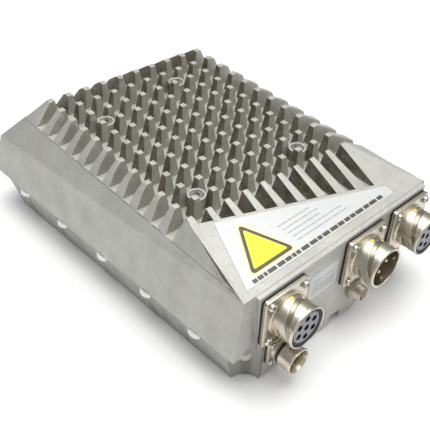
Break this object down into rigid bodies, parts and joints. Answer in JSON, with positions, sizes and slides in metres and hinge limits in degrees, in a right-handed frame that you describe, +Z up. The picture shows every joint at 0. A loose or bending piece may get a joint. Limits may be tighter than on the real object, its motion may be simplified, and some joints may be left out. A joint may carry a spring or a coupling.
{
  "type": "servo drive",
  "caption": "Decentralised servo drive in a finned cast housing with round bayonet receptacles and small signal receptacles on its front wall.",
  "frame": {"origin": "middle of the underside of the whole drive, receptacles included", "axes": "+Z up out of the pin fins, the receptacles face -Y, +X across the width"},
  "size_m": [0.192, 0.2866, 0.0945],
  "materials": {
    "cast_aluminium": "cast, satin",
    "cast_aluminium_dark": "cast, satin",
    "black_rubber": "matte",
    "zinc_steel": "zinc plated",
    "label_white": "printed sheet",
    "label_yellow": "printed",
    "label_ink": "printed",
    "index_yellow": "paint",
    "nickel_plate": "satin nickel",
    "insert_grey": "moulded",
    "insert_brown": "moulded",
    "contact_gold": "plated",
    "thermal_pad": "matte",
    "module_black": "moulded",
    "board_green": "solder mask",
    "board_blue": "solder mask",
    "capacitor_sleeve": "sleeve",
    "copper_winding": "enamelled",
    "terminal_green": "moulded",
    "lead_red": "insulation",
    "lead_grey": "insulation",
    "header_ivory": "moulded",
    "brass": "turned"
  },
  "bodies": {
    "root": {"heatsink_casting": "cast_aluminium", "lower_tray": "cast_aluminium_dark", "housing_gasket": "black_rubber", "tray_screws": "zinc_steel", "module_screws": "zinc_steel", "nameplate": "label_white", "nameplate_symbol": "label_yellow", "nameplate_bars": "label_ink", "serial_sticker": "label_white", "conn_a_shell": "nickel_plate", "conn_a_gasket": "black_rubber", "conn_a_insert": "insert_grey", "conn_a_seal": "black_rubber", "conn_a_contacts": "contact_gold", "conn_b_shell": "nickel_plate", "conn_b_gasket": "black_rubber", "conn_b_insert": "insert_brown", "conn_b_contacts": "contact_gold", "conn_c_shell": "nickel_plate", "conn_c_gasket": "black_rubber", "conn_c_insert": "insert_grey", "conn_c_seal": "black_rubber", "conn_c_contacts": "contact_gold", "flange_screws": "zinc_steel", "index_marks": "index_yellow", "signal_flange": "nickel_plate", "signal_gasket": "black_rubber", "signal_sleeve": "nickel_plate", "signal_ring": "black_rubber", "signal_insert": "insert_brown", "signal_pins": "contact_gold", "signal_screws": "zinc_steel", "sensor_body": "nickel_plate", "sensor_nut": "nickel_plate", "sensor_insert": "insert_brown", "sensor_pins": "contact_gold", "thermal_pad": "thermal_pad", "power_module": "module_black", "power_board": "board_green", "dc_link_capacitors": "capacitor_sleeve", "link_inductor": "copper_winding", "power_terminals": "terminal_green", "power_leads": "lead_red", "control_board": "board_blue", "control_chips": "module_black", "link_board": "board_green", "signal_header": "header_ivory", "signal_leads": "lead_grey", "board_standoffs": "brass", "board_screws": "zinc_steel"}
  },
  "joints": []
}
